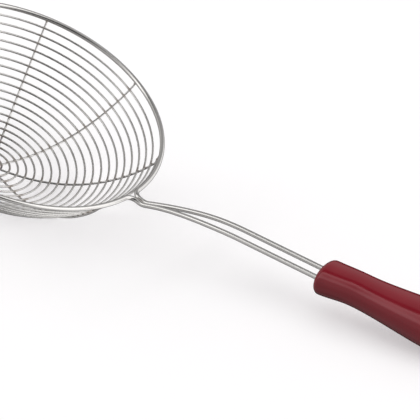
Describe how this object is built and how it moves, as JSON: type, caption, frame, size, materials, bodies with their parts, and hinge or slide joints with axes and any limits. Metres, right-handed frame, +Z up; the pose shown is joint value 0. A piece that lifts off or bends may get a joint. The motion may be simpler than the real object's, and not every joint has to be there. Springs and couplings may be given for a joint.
{
  "type": "frying strainer",
  "caption": "Hand-held wire strainer: spiral-wound bowl on cross wires, rim wire drawn out as a double-wire shank into an oval moulded handle with a hanging hole.",
  "frame": {"origin": "centre of the bounding box's bottom face, on the table on which the strainer lies", "axes": "+X from the basket to the handle's tail, +Z up from the table, +Y to the left seen from the basket"},
  "size_m": [0.3864, 0.1624, 0.0823],
  "materials": {
    "wire": "bright drawn stainless steel wire",
    "handle": "glossy maroon moulded plastic"
  },
  "bodies": {
    "root": {"rim_wire": "wire", "spiral_wire": "wire", "spoke_wire_1": "wire", "spoke_wire_2": "wire", "spoke_wire_3": "wire", "spoke_wire_4": "wire", "handle": "handle"}
  },
  "joints": []
}
